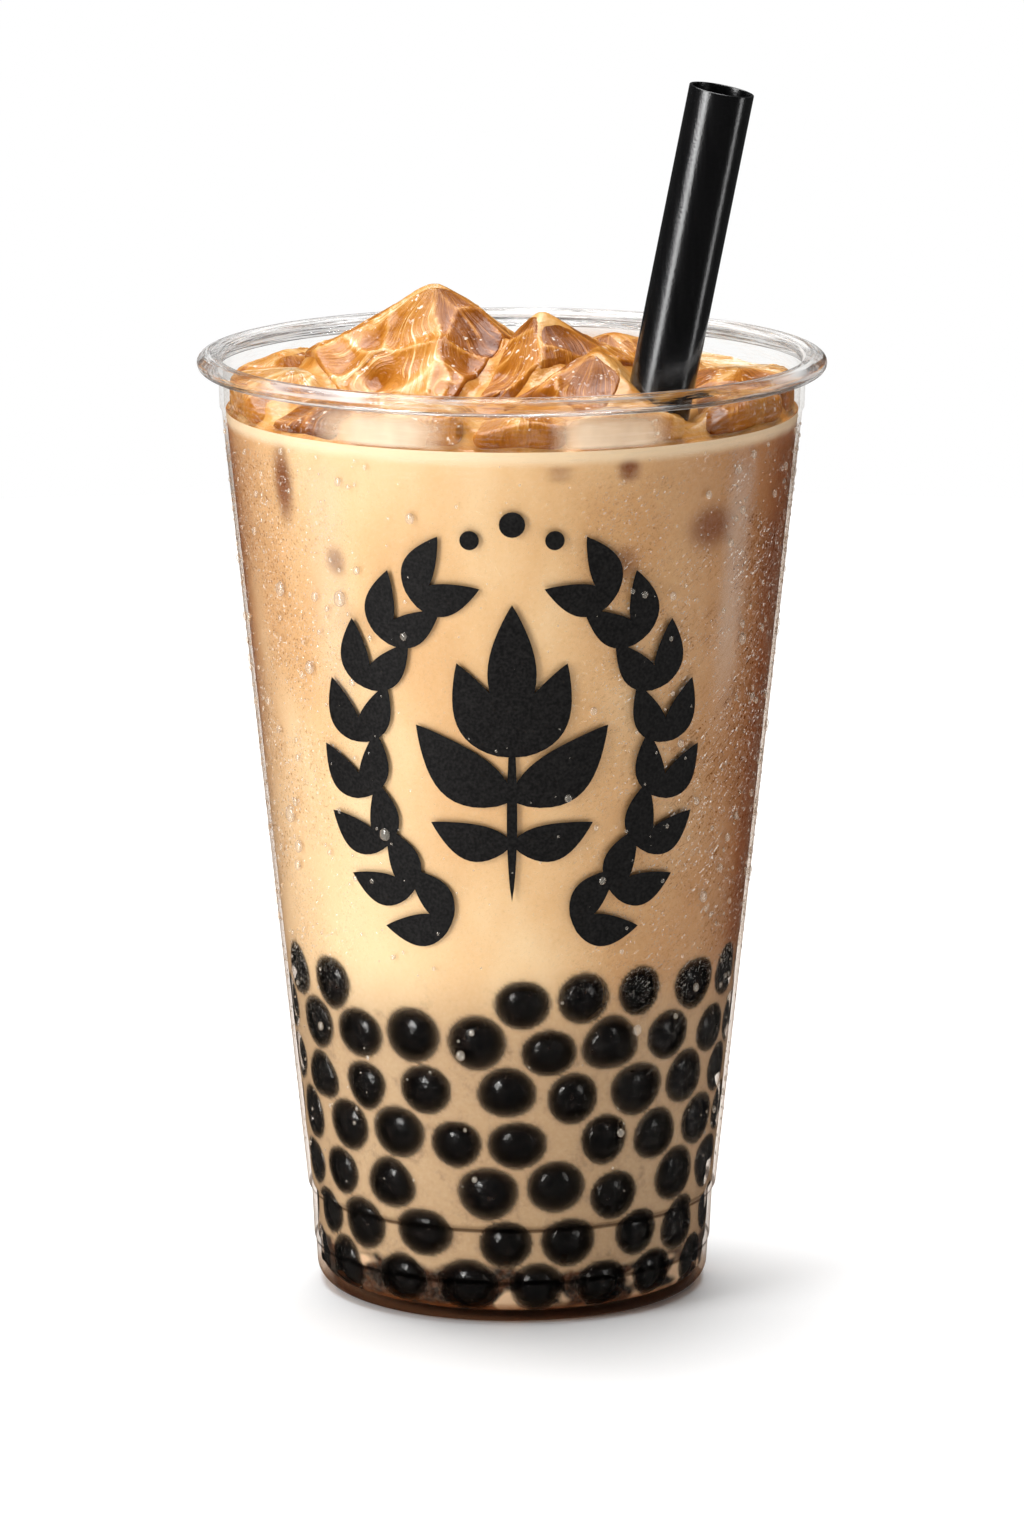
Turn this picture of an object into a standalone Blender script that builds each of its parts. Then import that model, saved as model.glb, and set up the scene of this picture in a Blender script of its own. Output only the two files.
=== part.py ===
"""A cup of iced bubble tea: a clear cup with a rolled rim, milk tea, tapioca pearls, lumps of ice and a wide straw.

Metres, +Z up. The origin is the middle of the cup's foot, on the surface that the cup stands on.
"""

import math
import random
from collections import namedtuple

import bmesh
import bpy
from mathutils import Vector

MM = 0.001
GAP = 0.3 * MM  # left between pieces that touch in the real cup
WELD = 1e-7
SHARP_ANGLE = math.radians(40)
FLAT_ANGLE = math.radians(2)

# The cup: outer radii and heights, from its foot to its rolled rim
CUP_SIDES = 60
CUP_HEIGHT = 148.4 * MM
CUP_WALL = 0.7 * MM
RIM_RADIUS = 49.0 * MM
RIM_WIDTH = 4.0 * MM
RIM_DEPTH = 3.0 * MM
BAND_TOP_RADIUS = 45.7 * MM
BAND_TOP_HEIGHT = 145.8 * MM
BAND_FOOT_RADIUS = 45.5 * MM
LEDGE_HEIGHT = 139.9 * MM
WALL_TOP_RADIUS = 45.2 * MM
UPPER_STEP_HEIGHT = 15.6 * MM
WALL_FOOT_RADIUS = 32.3 * MM
MIDDLE_RADII = (31.35 * MM, 31.75 * MM)
LOWER_STEP_HEIGHT = 7.0 * MM
HEEL_RADII = (30.9 * MM, 31.1 * MM)
HEEL_ROUND = 3.5 * MM
FOOT_INNER_RADIUS = 23.5 * MM
RECESS_DEPTH = 1.0 * MM
STEP_RISE = 0.5 * MM
FLOOR_HEIGHT = RECESS_DEPTH + CUP_WALL

# The drink and what lies in it
TEA_LEVEL = 139.3 * MM
TEA_SIDES = 60
BED_TOP = 56.8 * MM
BED_CORE_TOP = 51.0 * MM
BED_CORE_INSET = 4.7 * MM
BED_SIDES = 32

PEARL_ROWS = 7
PEARL_FIRST_ROW = 6.2 * MM
PEARL_ROW_PITCH = 7.7 * MM
PEARL_PITCH = 9.7 * MM
PEARL_RADII = (3.6 * MM, 4.3 * MM)
PEARL_SPACE = 0.7 * MM
PEARL_SHIFT = 2.0 * MM
PEARL_ROUNDS = 60
PEARL_SEED = 4
PEARL_SIDES = 7
PEARL_BANDS = 4
PEARLS_ON_TOP = (5, 9)
TOP_ROW_MISSING = 0.3

# The straw: its outer size, and where its axis passes the tea's surface
STRAW_RADIUS = 5.0 * MM
STRAW_WALL = 0.5 * MM
STRAW_SIDES = 24
STRAW_TOP = 192.2 * MM
STRAW_AT_LEVEL = Vector((21.5 * MM, -23.5 * MM, TEA_LEVEL))
STRAW_LEAN = Vector((0.190, -0.044, 0.981)).normalized()
STRAW_FOOT = FLOOR_HEIGHT + GAP + STRAW_RADIUS * math.hypot(STRAW_LEAN.x, STRAW_LEAN.y)

# The ice: each lump's peak in millimetres, how far it reaches, and how steep its sides fall, in degrees.
# The sides are spaced evenly about the peak, and the first faces +X unless the lump is turned.
Lump = namedtuple("Lump", "name peak reach turn slopes")
LUMPS = (
    Lump("ice_peak_left", (-12.0, 2.0, 160.0), 22, 0, (31, 38, 44, 27, 36, 34)),
    Lump("ice_peak_right", (4.5, -8.0, 156.6), 17, 10, (29, 44, 40, 42, 38)),
    Lump("ice_crest_straw", (13.0, -21.5, 152.2), 15, 0, (38, 30, 27, 30)),
    Lump("ice_behind_peak", (15.5, 9.0, 150.6), 14, 30, (20, 30, 22, 24, 18)),
    Lump("ice_slab_right", (35.0, -2.0, 146.4), 11, 20, (7, 10, 12, 9)),
    Lump("ice_slab_back", (27.0, 26.0, 144.0), 13, 0, (4, 3, 5, 4)),
    Lump("ice_back", (3.0, 33.0, 145.4), 13, 15, (5, 6, 8, 7)),
    Lump("ice_back_left", (-23.0, 30.0, 145.2), 12, 40, (6, 7, 5, 8)),
    Lump("ice_cube_left", (-35.5, 10.0, 147.6), 10, 60, (14, 34, 12, 30)),
    Lump("ice_block_left", (-34.0, -7.0, 147.0), 10, 15, (16, 10, 12, 22)),
    Lump("ice_shard_left", (-25.0, -22.0, 145.2), 8, 35, (14, 12, 20, 10)),
    Lump("ice_front_left", (-12.0, -34.0, 145.8), 9, 0, (12, 14, 10, 9)),
    Lump("ice_front", (2.0, -36.0, 144.8), 10, 20, (10, 16, 12, 8)),
    Lump("ice_front_right", (15.0, -37.5, 145.6), 8, 0, (9, 16, 12, 10)),
    Lump("ice_side_right", (36.0, -20.0, 145.2), 10, 0, (10, 9, 14, 12)),
)
LUMP_SPACE = 1.6 * MM
LUMP_CROWN = 0.4 * MM
LUMP_DRAFT_START = TEA_LEVEL + 1.0 * MM
LUMP_DRAFT = math.radians(45)
LUMP_DEPTH = 11.0 * MM
LUMP_FACETS = 24
LUMP_SHORTEST_EDGE = 2.2 * MM
LUMP_ROUND = 0.9 * MM

# Colours (linear), as the real pieces show them
CLEAR_PLASTIC = (0.90, 0.92, 0.93)
MILK_TEA = (0.72, 0.43, 0.20)
BLACK_PEARL = (0.012, 0.009, 0.008)
TEA_WASHED_ICE = (0.60, 0.33, 0.15)
BLACK_PLASTIC = (0.010, 0.010, 0.011)


def clear_scene():
    for obj in list(bpy.data.objects):
        bpy.data.objects.remove(obj)


def finish(name, colour, roughness, alpha=1.0):
    """A Principled material with one colour."""
    material = bpy.data.materials.new(name)
    material.use_nodes = True
    shader = material.node_tree.nodes["Principled BSDF"]
    shader.inputs["Base Color"].default_value = (*colour, 1.0)
    shader.inputs["Roughness"].default_value = roughness
    shader.inputs["Metallic"].default_value = 0.0
    shader.inputs["Alpha"].default_value = alpha
    return material


def add_piece(name, bm, material=None, smooth=True):
    """Makes the bmesh an object. One without a material is a cutter or a shape to join, which isn't rendered."""
    mesh = bpy.data.meshes.new(name)
    bm.to_mesh(mesh)
    bm.free()
    piece = bpy.data.objects.new(name, mesh)
    bpy.context.scene.collection.objects.link(piece)
    if material:
        mesh.materials.append(material)
    else:
        piece.hide_render = True
        piece.display_type = "WIRE"
    if smooth:
        mesh.shade_smooth()
        mesh.set_sharp_from_angle(angle=SHARP_ANGLE)
    return piece


def settle(piece):
    """Gives the piece the mesh that its modifiers make, and takes the modifiers off."""
    graph = bpy.context.evaluated_depsgraph_get()
    mesh = bpy.data.meshes.new_from_object(piece.evaluated_get(graph))
    piece.modifiers.clear()
    piece.data = mesh


def add_boolean(piece, operation, other, solver="EXACT"):
    """Joins or cuts the piece with another object, or with every object of a collection."""
    boolean = piece.modifiers.new(f"{operation.lower()}_{other.name}", "BOOLEAN")
    boolean.operation = operation
    boolean.solver = solver
    if isinstance(other, bpy.types.Collection):
        boolean.operand_type = "COLLECTION"
        boolean.collection = other
    else:
        boolean.object = other


def gather(name, pieces):
    """Moves the pieces into a collection of their own."""
    group = bpy.data.collections.new(name)
    bpy.context.scene.collection.children.link(group)
    for piece in pieces:
        bpy.context.scene.collection.objects.unlink(piece)
        group.objects.link(piece)
    return group


def arc(centre, radii, start, end, steps):
    """Points of an arc or a stretch of an ellipse, its angles in degrees."""
    for step in range(steps + 1):
        angle = math.radians(start + (end - start) * step / steps)
        yield centre[0] + radii[0] * math.cos(angle), centre[1] + radii[1] * math.sin(angle)


def turned(outline, sides, closed=False):
    """A solid turned about Z from (radius, height) points. An open outline begins and ends on the axis."""
    bm = bmesh.new()
    points = [bm.verts.new((radius, 0.0, height)) for radius, height in outline]
    following = points[1:] + points[:1] if closed else points[1:]
    edges = [bm.edges.new(ends) for ends in zip(points, following)]
    bmesh.ops.spin(
        bm, geom=points + edges, axis=(0, 0, 1), cent=(0, 0, 0), angle=2 * math.pi, steps=sides, use_merge=True
    )
    bmesh.ops.remove_doubles(bm, verts=bm.verts, dist=WELD)
    bmesh.ops.recalc_face_normals(bm, faces=bm.faces)
    return bm


def cup_wall_stations():
    """(outer radius, height) down the cup's side, from below its rim to its heel."""
    return (
        (BAND_TOP_RADIUS, BAND_TOP_HEIGHT),
        (BAND_FOOT_RADIUS, LEDGE_HEIGHT + STEP_RISE / 2),
        (WALL_TOP_RADIUS, LEDGE_HEIGHT - STEP_RISE / 2),
        (WALL_FOOT_RADIUS, UPPER_STEP_HEIGHT + STEP_RISE / 2),
        (MIDDLE_RADII[1], UPPER_STEP_HEIGHT - STEP_RISE / 2),
        (MIDDLE_RADII[0], LOWER_STEP_HEIGHT + STEP_RISE / 2),
        (HEEL_RADII[1], LOWER_STEP_HEIGHT - STEP_RISE / 2),
        (HEEL_RADII[0], HEEL_ROUND),
    )


def inner_radius(height):
    """The radius of the cup's inside at a height."""
    stations = cup_wall_stations()
    for (upper, top), (lower, foot) in zip(stations, stations[1:]):
        if height >= foot:
            return lower + (upper - lower) * (height - foot) / (top - foot) - CUP_WALL
    return stations[-1][0] - CUP_WALL


def make_cup():
    rim_centre = (RIM_RADIUS - RIM_WIDTH / 2, CUP_HEIGHT - RIM_DEPTH / 2)
    rim = arc(rim_centre, (RIM_WIDTH / 2, RIM_DEPTH / 2), 180, -130, 9)
    outside = cup_wall_stations()[1:]
    inside = [(radius - CUP_WALL, height) for radius, height in reversed(outside)]
    inner_round = HEEL_ROUND - CUP_WALL
    heel_radius = HEEL_RADII[0] - HEEL_ROUND
    heel_in = arc((heel_radius, FLOOR_HEIGHT + inner_round), (inner_round, inner_round), -90, 0, 2)
    heel_out = arc((heel_radius, HEEL_ROUND), (HEEL_ROUND, HEEL_ROUND), 0, -90, 3)
    outline = [
        (0.0, FLOOR_HEIGHT),
        *heel_in,
        *inside[1:],
        *rim,
        *outside[:-1],
        *heel_out,
        (FOOT_INNER_RADIUS, 0.0),
        (FOOT_INNER_RADIUS - RECESS_DEPTH, RECESS_DEPTH),
        (0.0, RECESS_DEPTH),
    ]
    return add_piece("cup", turned(outline, CUP_SIDES), finish("clear_plastic", CLEAR_PLASTIC, 0.05, alpha=0.3))


def straw_point(height):
    """Where the straw's axis passes a height."""
    return STRAW_AT_LEVEL + STRAW_LEAN * ((height - TEA_LEVEL) / STRAW_LEAN.z)


def straw_tube(outline, sides, closed):
    """A turned solid that stands along the straw's axis, from the cup's floor."""
    foot = straw_point(STRAW_FOOT)
    bm = turned(outline, sides, closed)
    lean = Vector((0, 0, 1)).rotation_difference(STRAW_LEAN).to_matrix()
    bmesh.ops.rotate(bm, verts=bm.verts, cent=(0, 0, 0), matrix=lean)
    bmesh.ops.translate(bm, verts=bm.verts, vec=foot)
    return bm


def make_straw():
    length = (STRAW_TOP - STRAW_FOOT) / STRAW_LEAN.z
    bore = STRAW_RADIUS - STRAW_WALL
    outline = ((bore, 0.0), (STRAW_RADIUS, 0.0), (STRAW_RADIUS, length), (bore, length))
    bm = straw_tube(outline, STRAW_SIDES, closed=True)
    return add_piece("straw", bm, finish("black_plastic", BLACK_PLASTIC, 0.2))


def make_straw_channel():
    """The cutter for the way that the straw takes through the drink and the pearls."""
    radius = STRAW_RADIUS + GAP
    reach = 40 * MM
    outline = ((0.0, -reach), (radius, -reach), (radius, STRAW_TOP), (0.0, STRAW_TOP))
    return add_piece("straw_channel", straw_tube(outline, STRAW_SIDES, closed=False))


def wall_pearls():
    """The pearls that lie against the wall: [turn about Z, height, radius], drawn in rows and then eased apart."""
    draw = random.Random(PEARL_SEED)
    pearls = []
    for row in range(PEARL_ROWS):
        height = PEARL_FIRST_ROW + row * PEARL_ROW_PITCH
        girth = 2 * math.pi * (inner_radius(height) - PEARL_RADII[1])
        count = round(girth / PEARL_PITCH)
        for place in range(count):
            turn = 2 * math.pi * (place + row / 2) / count
            shift = draw.uniform(-PEARL_SHIFT, PEARL_SHIFT) * 2 * math.pi / girth
            lift = draw.uniform(-PEARL_SHIFT, PEARL_SHIFT)
            radius = draw.uniform(*PEARL_RADII)
            missing = row == PEARL_ROWS - 1 and draw.random() < TOP_ROW_MISSING
            if not missing:
                pearls.append([turn + shift, height + lift, radius])
    for _ in range(PEARL_ROUNDS):
        ease_apart(pearls)
    return pearls


def ease_apart(pearls):
    """Moves pearls that are too near each other half of the way apart, along the wall."""
    for index, first in enumerate(pearls):
        for second in pearls[index + 1 :]:
            across = inner_radius((first[1] + second[1]) / 2) - PEARL_RADII[1]
            turn = math.remainder(second[0] - first[0], 2 * math.pi)
            apart = Vector((turn * across, second[1] - first[1]))
            wanted = first[2] + second[2] + PEARL_SPACE
            if 0 < apart.length < wanted:
                push = apart.normalized() * (wanted - apart.length) / 4
                first[0] -= push.x / across
                first[1] -= push.y
                second[0] += push.x / across
                second[1] += push.y
    for pearl in pearls:
        lowest = FLOOR_HEIGHT + GAP + pearl[2]
        pearl[1] = min(max(pearl[1], lowest), BED_TOP - pearl[2])


def pearl_shape(name, centre, outward, radius):
    """A pearl of few sides, with one pole towards the wall."""
    bm = bmesh.new()
    bmesh.ops.create_uvsphere(bm, u_segments=PEARL_SIDES, v_segments=PEARL_BANDS, radius=radius)
    bmesh.ops.rotate(
        bm, verts=bm.verts, cent=(0, 0, 0), matrix=Vector((0, 0, 1)).rotation_difference(outward).to_matrix()
    )
    bmesh.ops.translate(bm, verts=bm.verts, vec=centre)
    return add_piece(name, bm, smooth=False)


def make_pearls(straw_channel):
    """The bed of pearls: one heap, with the pearls that show fused to a smaller core."""
    foot = FLOOR_HEIGHT + GAP
    lower = inner_radius(foot) - BED_CORE_INSET
    upper = inner_radius(BED_CORE_TOP) - BED_CORE_INSET
    core = ((0.0, foot), (lower, foot), (upper, BED_CORE_TOP), (0.0, BED_CORE_TOP))
    heap = add_piece("pearls", turned(core, BED_SIDES), finish("black_pearl", BLACK_PEARL, 0.25))
    shapes = []
    for number, (turn, height, radius) in enumerate(wall_pearls()):
        outward = Vector((math.cos(turn), math.sin(turn), 0.0))
        centre = outward * (inner_radius(height) - GAP - radius)
        centre.z = height
        shapes.append(pearl_shape(f"wall_pearl_{number}", centre, outward, radius))
    for ring, count in enumerate(PEARLS_ON_TOP, start=1):
        for place in range(count):
            turn = 2 * math.pi * (place + ring / 3) / count
            across = ring * PEARL_PITCH
            centre = Vector((across * math.cos(turn), across * math.sin(turn), BED_TOP - PEARL_RADII[1]))
            shapes.append(pearl_shape(f"top_pearl_{ring}_{place}", centre, Vector((0, 0, 1)), PEARL_RADII[1]))
    add_boolean(heap, "UNION", gather("pearl_shapes", shapes), solver="MANIFOLD")
    add_boolean(heap, "DIFFERENCE", straw_channel, solver="MANIFOLD")
    settle(heap)
    for shape in shapes:
        bpy.data.objects.remove(shape)
    return heap


def cut_off(bm, point, normal):
    """Cuts away what lies beyond a plane, and closes the cut."""
    everything = bm.verts[:] + bm.edges[:] + bm.faces[:]
    bmesh.ops.bisect_plane(bm, geom=everything, plane_co=point, plane_no=normal, clear_outer=True)
    open_edges = [edge for edge in bm.edges if edge.is_boundary]
    if open_edges:
        bmesh.ops.holes_fill(bm, edges=open_edges)


def side_cuts(point, outward, spread):
    """An upright plane, and the one that drafts the lump in below the tea's surface. Both are moved out by spread."""
    flat = Vector((outward.x, outward.y, 0.0)).normalized()
    start = Vector((point.x, point.y, LUMP_DRAFT_START))
    drafted = flat * math.cos(LUMP_DRAFT) - Vector((0, 0, math.sin(LUMP_DRAFT)))
    yield point + outward * spread, outward
    yield start + drafted * spread, drafted


def lump_cuts(lump, spread):
    """Every plane (point, normal) that shapes a lump: its blunt top and slopes, its neighbours, the wall, the straw."""
    peak = Vector(lump.peak) * MM
    upward = Vector((0, 0, 1))
    yield peak - upward * (LUMP_CROWN - spread), upward
    for number, slope in enumerate(lump.slopes):
        azimuth = math.radians(lump.turn + 360 * number / len(lump.slopes))
        steep = math.radians(slope)
        sideways = Vector((math.cos(azimuth), math.sin(azimuth), 0.0))
        normal = sideways * math.sin(steep) + upward * math.cos(steep)
        yield peak + normal * spread, normal
    yield upward * (TEA_LEVEL - LUMP_DEPTH - spread), -upward
    centre = Vector((peak.x, peak.y, TEA_LEVEL))
    for other in LUMPS:
        if other is not lump:
            towards = Vector((other.peak[0] * MM, other.peak[1] * MM, TEA_LEVEL)) - centre
            distance = towards.length
            share = (distance**2 + (lump.reach * MM) ** 2 - (other.reach * MM) ** 2) / (2 * distance)
            outward = towards.normalized()
            yield from side_cuts(centre + outward * (share - LUMP_SPACE / 2), outward, spread)
    clear_radius = (inner_radius(TEA_LEVEL) - GAP) * math.cos(math.pi / LUMP_FACETS)
    for number in range(LUMP_FACETS):
        azimuth = 2 * math.pi * number / LUMP_FACETS
        outward = Vector((math.cos(azimuth), math.sin(azimuth), 0.0))
        yield from side_cuts(outward * clear_radius, outward, spread)
    from_peak = STRAW_AT_LEVEL - centre
    outward = (from_peak - STRAW_LEAN * from_peak.dot(STRAW_LEAN)).normalized()
    yield from side_cuts(STRAW_AT_LEVEL - outward * (STRAW_RADIUS + 2 * GAP), outward, spread)


def lump_solid(lump, spread=0.0):
    """A block cut down by the lump's planes."""
    bm = bmesh.new()
    bmesh.ops.create_cube(bm, size=4 * RIM_RADIUS)
    bmesh.ops.translate(bm, verts=bm.verts, vec=(0, 0, TEA_LEVEL))
    for point, normal in lump_cuts(lump, spread):
        cut_off(bm, point, normal)
    return bm


def rounded_lump(lump):
    """The lump with its shortest edges drawn together and all the others rounded off."""
    bm = lump_solid(lump)
    bmesh.ops.remove_doubles(bm, verts=bm.verts, dist=LUMP_SHORTEST_EDGE)
    bmesh.ops.delete(bm, geom=bm.edges[:], context="EDGES_FACES")
    bmesh.ops.convex_hull(bm, input=bm.verts)
    bmesh.ops.delete(bm, geom=[vert for vert in bm.verts if not vert.link_faces], context="VERTS")
    bmesh.ops.dissolve_limit(bm, angle_limit=FLAT_ANGLE, verts=bm.verts, edges=bm.edges)
    bmesh.ops.bevel(
        bm,
        geom=bm.edges,
        affect="EDGES",
        offset=LUMP_ROUND,
        segments=1,
        profile=0.5,
        material=-1,
        clamp_overlap=True,
    )
    bmesh.ops.recalc_face_normals(bm, faces=bm.faces)
    return bm


def make_ice():
    """The lumps of ice, and the cutters for the hollows that they leave in the tea."""
    material = finish("tea_washed_ice", TEA_WASHED_ICE, 0.12)
    hollows = []
    for lump in LUMPS:
        add_piece(lump.name, rounded_lump(lump), material)
        cutter = lump_solid(lump, spread=GAP)
        bmesh.ops.recalc_face_normals(cutter, faces=cutter.faces)
        hollows.append(add_piece(f"hollow_{lump.name}", cutter, smooth=False))
    return gather("ice_hollows", hollows)


def make_tea(straw_channel, ice_hollows):
    """The milk tea over the pearls, up to the level that shows, with hollows for the ice and the straw."""
    foot = BED_TOP + GAP
    lower = inner_radius(foot) - GAP
    upper = inner_radius(TEA_LEVEL) - GAP
    outline = ((0.0, foot), (lower, foot), (upper, TEA_LEVEL), (0.0, TEA_LEVEL))
    tea = add_piece("tea", turned(outline, TEA_SIDES), finish("milk_tea", MILK_TEA, 0.15))
    add_boolean(tea, "DIFFERENCE", straw_channel)
    add_boolean(tea, "DIFFERENCE", ice_hollows)
    return tea


clear_scene()
make_cup()
make_straw()
channel = make_straw_channel()
make_pearls(channel)
make_tea(channel, make_ice())
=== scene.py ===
import math
import random
from collections import namedtuple

import bmesh
import bpy
import numpy as np
from mathutils import Matrix, Vector, noise


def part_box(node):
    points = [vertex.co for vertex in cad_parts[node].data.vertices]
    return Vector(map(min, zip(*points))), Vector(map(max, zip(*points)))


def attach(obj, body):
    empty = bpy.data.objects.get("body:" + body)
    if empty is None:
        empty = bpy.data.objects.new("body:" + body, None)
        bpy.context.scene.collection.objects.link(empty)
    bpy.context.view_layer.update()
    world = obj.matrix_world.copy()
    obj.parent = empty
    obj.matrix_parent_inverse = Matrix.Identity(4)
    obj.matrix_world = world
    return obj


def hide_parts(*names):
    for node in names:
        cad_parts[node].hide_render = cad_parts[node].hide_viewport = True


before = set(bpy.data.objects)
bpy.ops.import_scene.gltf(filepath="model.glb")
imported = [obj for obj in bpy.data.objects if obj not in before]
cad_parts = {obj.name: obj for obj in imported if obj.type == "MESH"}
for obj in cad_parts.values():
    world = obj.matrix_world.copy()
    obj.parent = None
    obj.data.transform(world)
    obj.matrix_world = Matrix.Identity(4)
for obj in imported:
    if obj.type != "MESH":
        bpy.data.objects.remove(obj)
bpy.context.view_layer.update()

# Cup: a tapered cup of clear PET, 0.7 mm thick, thermoformed in one piece with a ledge under its rim and two steps
# above its foot. The rim is rolled outwards into a bead. It stands on the flat ring round its shallow foot recess.
MM = 0.001
SHARP_ANGLE = math.radians(55)
CUP_SIDES = 240
CUP_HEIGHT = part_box("cup")[1].z
RIM_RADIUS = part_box("cup")[1].x
CUP_WALL = 0.7 * MM
RIM_WIDTH = 4.0 * MM
RIM_DEPTH = 3.0 * MM
STEP_RISE = 0.5 * MM
STEP_ROUND = 0.3 * MM
LEDGE_HEIGHT = 139.9 * MM
UPPER_STEP_HEIGHT = 15.6 * MM
LOWER_STEP_HEIGHT = 7.0 * MM
HEEL_ROUND = 3.5 * MM
HEEL_RADIUS = 30.9 * MM
RECESS_RADIUS = 23.5 * MM
RECESS_DEPTH = 1.0 * MM
FLOOR_HEIGHT = RECESS_DEPTH + CUP_WALL
WALL_STATIONS = (  # (outer radius, height), from under the rim down to the heel
    (45.7 * MM, 145.8 * MM),
    (45.5 * MM, LEDGE_HEIGHT + STEP_RISE / 2),
    (45.2 * MM, LEDGE_HEIGHT - STEP_RISE / 2),
    (32.3 * MM, UPPER_STEP_HEIGHT + STEP_RISE / 2),
    (31.75 * MM, UPPER_STEP_HEIGHT - STEP_RISE / 2),
    (31.35 * MM, LOWER_STEP_HEIGHT + STEP_RISE / 2),
    (31.1 * MM, LOWER_STEP_HEIGHT - STEP_RISE / 2),
    (HEEL_RADIUS, HEEL_ROUND),
)
DEW_SCALES = (1250.0, 2300.0)
DEW_SHAKE = 0.006
DEW_FADE = (46 * MM, 66 * MM)
BAND_FADE = (88 * MM, 112 * MM)
FILM_FOOT = (139.6 * MM, 140.6 * MM)
FILM_TOP = (146.5 * MM, 142.5 * MM)
HEEL_TINT = (3.6 * MM, 1.6 * MM)


def colour(red, green, blue):
    """A screen colour, 0 to 255, as the linear colour that a node takes."""
    linear = (((part / 255 + 0.055) / 1.055) ** 2.4 if part > 10 else part / 255 / 12.92 for part in (red, green, blue))
    return (*linear, 1.0)


class Shade:
    """A socket in a material's nodes. Arithmetic on it adds Math nodes."""

    def __init__(self, tree, socket=None):
        self.tree = tree
        self.socket = socket

    def node(self, kind, sockets=None, output=0, ramp=(), **settings):
        """Adds a node. Its settings come first, then the values or links of its sockets."""
        made = self.tree.nodes.new(kind)
        for name, value in settings.items():
            setattr(made, name, value)
        if ramp:
            stops = made.color_ramp.elements
            stops[0].position, stops[0].color = ramp[0]
            stops[1].position, stops[1].color = ramp[-1]
            for place, tint in ramp[1:-1]:
                stops.new(place).color = tint
        for name, value in (sockets or {}).items():
            if isinstance(value, Shade):
                self.tree.links.new(value.socket, made.inputs[name])
            else:
                made.inputs[name].default_value = value
        return Shade(self.tree, made.outputs[output])

    def math(self, operation, first, second):
        return self.node("ShaderNodeMath", {0: first, 1: second}, operation=operation)

    def __add__(self, other):
        return self.math("ADD", self, other)

    def __sub__(self, other):
        return self.math("SUBTRACT", self, other)

    def __rsub__(self, other):
        return self.math("SUBTRACT", other, self)

    def __mul__(self, other):
        return self.math("MULTIPLY", self, other)

    def __truediv__(self, other):
        return self.math("DIVIDE", self, other)

    def __pow__(self, other):
        return self.math("POWER", self, other)

    __radd__ = __add__
    __rmul__ = __mul__

    def place(self):
        """Where the point is, in metres, as the cup stands."""
        return self.node("ShaderNodeTexCoord", output="Object")

    def stored(self, name, output="Fac"):
        """A value that the mesh keeps for each of its points."""
        return self.node("ShaderNodeAttribute", output=output, attribute_name=name)

    def part(self, axis):
        return self.node("ShaderNodeSeparateXYZ", {"Vector": self}, output=axis)

    def stretched(self, *factors):
        return self.node("ShaderNodeVectorMath", {0: self, 1: factors}, operation="MULTIPLY")

    def moved(self, by):
        return self.node("ShaderNodeVectorMath", {0: self, 1: by}, operation="ADD")

    def length(self):
        return self.node("ShaderNodeVectorMath", {0: self}, output="Value", operation="LENGTH")

    def noise(self, scale, detail=2.0, roughness=0.5):
        sockets = {"Vector": self, "Scale": scale, "Detail": detail, "Roughness": roughness}
        return self.node("ShaderNodeTexNoise", sockets)

    def cells(self, scale, output="Distance"):
        return self.node("ShaderNodeTexVoronoi", {"Vector": self, "Scale": scale}, output=output)

    def rise(self, low, high):
        """0 below low, 1 above high, and smooth between them."""
        sockets = {"Value": self, "From Min": low, "From Max": high}
        return self.node("ShaderNodeMapRange", sockets, interpolation_type="SMOOTHSTEP")

    def mix(self, first, second):
        """A colour: the first where this is 0 and the second where it is 1."""
        return self.node("ShaderNodeMix", {0: self, 6: first, 7: second}, output=2, data_type="RGBA")

    def blend(self, first, second):
        """A shader: the first where this is 0 and the second where it is 1."""
        return self.node("ShaderNodeMixShader", {0: self, 1: first, 2: second})

    def ramp(self, *stops):
        return self.node("ShaderNodeValToRGB", {0: self}, ramp=stops)

    def bump(self, height, strength=1.0):
        """A normal from this relief, whose 0 to 1 is a height in metres."""
        return self.node("ShaderNodeBump", {"Height": self, "Distance": height, "Strength": strength})

    def principled(self, **sockets):
        return self.node("ShaderNodeBsdfPrincipled", {name.replace("_", " "): value for name, value in sockets.items()})


def new_material(name):
    """An empty material and the start of its nodes."""
    material = bpy.data.materials.new(name)
    material.use_nodes = True
    material.node_tree.nodes.clear()
    return material, Shade(material.node_tree)


def finished(material, shader):
    """The material, with this shader as its surface."""
    surface = material.node_tree.nodes.new("ShaderNodeOutputMaterial")
    material.node_tree.links.new(shader.socket, surface.inputs["Surface"])
    return material


def add_piece(name, bm, materials, replaced=()):
    """Makes the bmesh a piece that stands in the frame, for the CAD nodes that it replaces."""
    mesh = bpy.data.meshes.new(name)
    bm.to_mesh(mesh)
    bm.free()
    for material in materials:
        mesh.materials.append(material)
    mesh.shade_smooth()
    mesh.set_sharp_from_angle(angle=SHARP_ANGLE)
    piece = bpy.data.objects.new(name, mesh)
    bpy.context.scene.collection.objects.link(piece)
    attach(piece, "root")
    if replaced:
        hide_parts(*replaced)
    return piece


def arc(centre, radii, start, end, steps):
    """Points of an arc or a stretch of an ellipse, its angles in degrees."""
    for step in range(steps + 1):
        angle = math.radians(start + (end - start) * step / steps)
        yield centre[0] + radii[0] * math.cos(angle), centre[1] + radii[1] * math.sin(angle)


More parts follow.
